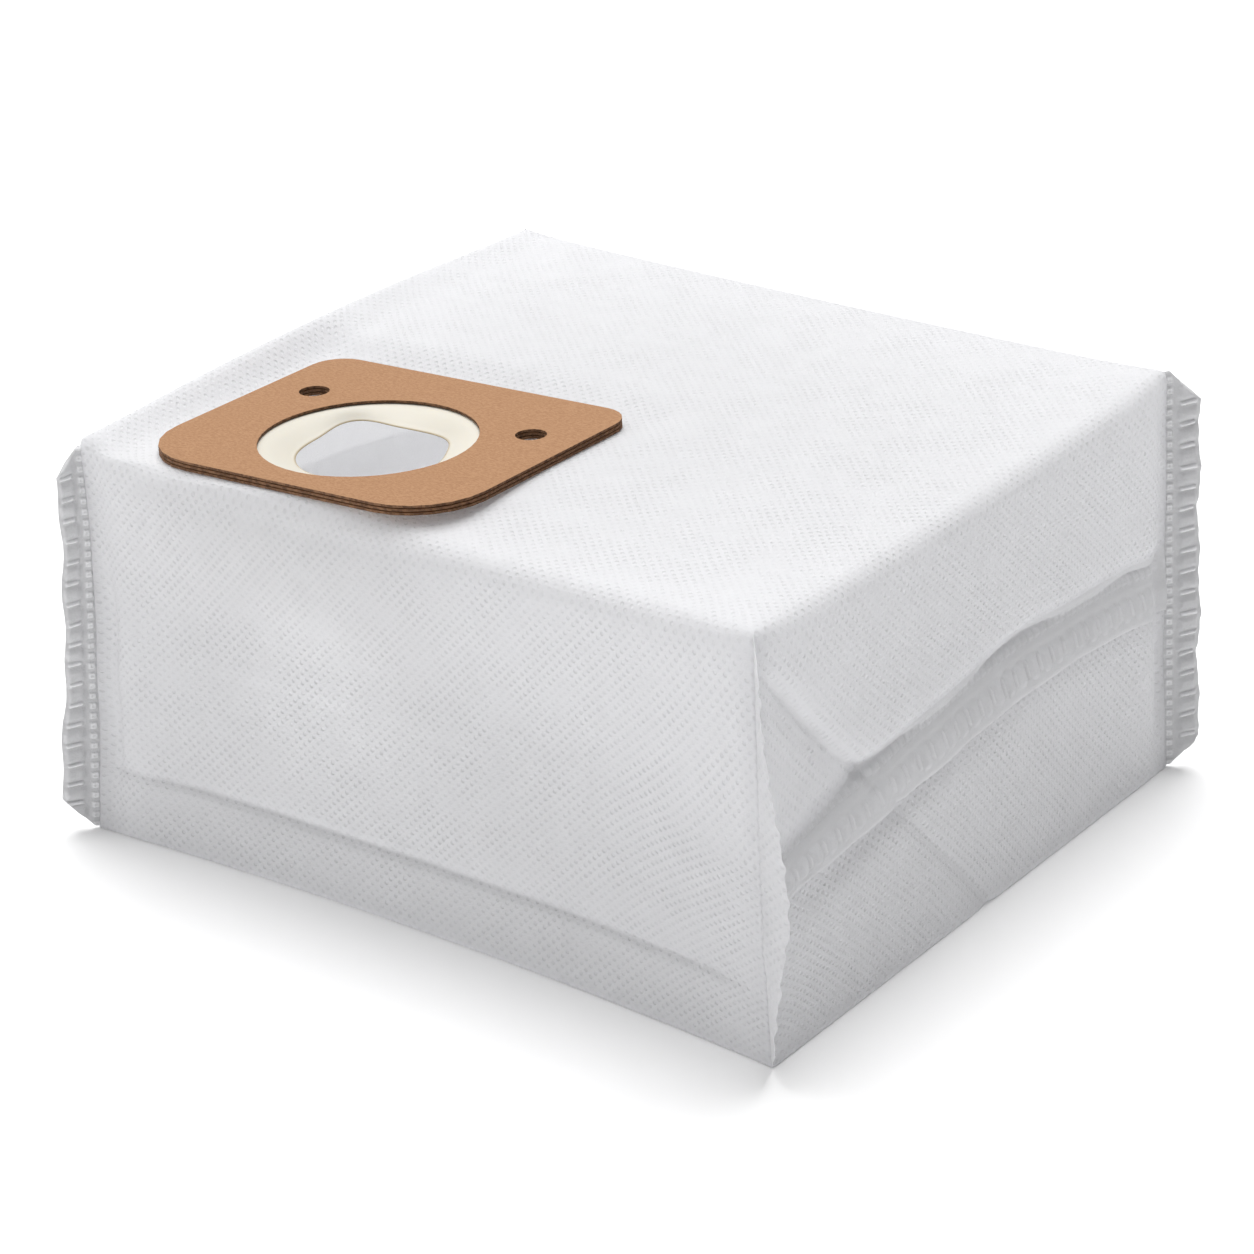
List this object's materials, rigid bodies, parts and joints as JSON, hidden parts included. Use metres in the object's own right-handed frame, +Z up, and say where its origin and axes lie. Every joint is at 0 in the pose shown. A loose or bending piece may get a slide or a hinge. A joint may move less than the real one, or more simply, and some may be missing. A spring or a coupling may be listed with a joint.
{
  "type": "vacuum dust bag",
  "caption": "Box-shaped nonwoven dust bag with welded corner flanges, a laminated card collar round its inlet and a soft sealing membrane.",
  "frame": {"origin": "on the floor, under the middle of the whole bag's bounding box", "axes": "+X along the bag's long side, +Y from the front panel, which the collar is nearest to, towards the back, +Z up"},
  "size_m": [0.204, 0.185, 0.1046],
  "materials": {
    "nonwoven_fabric": "matt white spunbond nonwoven with a fine embossed dot pattern",
    "kraft_card": "matt brown kraft card with darker laminated edges",
    "membrane_rubber": "smooth matt cream rubber"
  },
  "bodies": {
    "root": {"bag_body": "nonwoven_fabric", "card_bottom": "kraft_card", "card_middle": "kraft_card", "card_top": "kraft_card", "inlet_membrane": "membrane_rubber"}
  },
  "joints": []
}
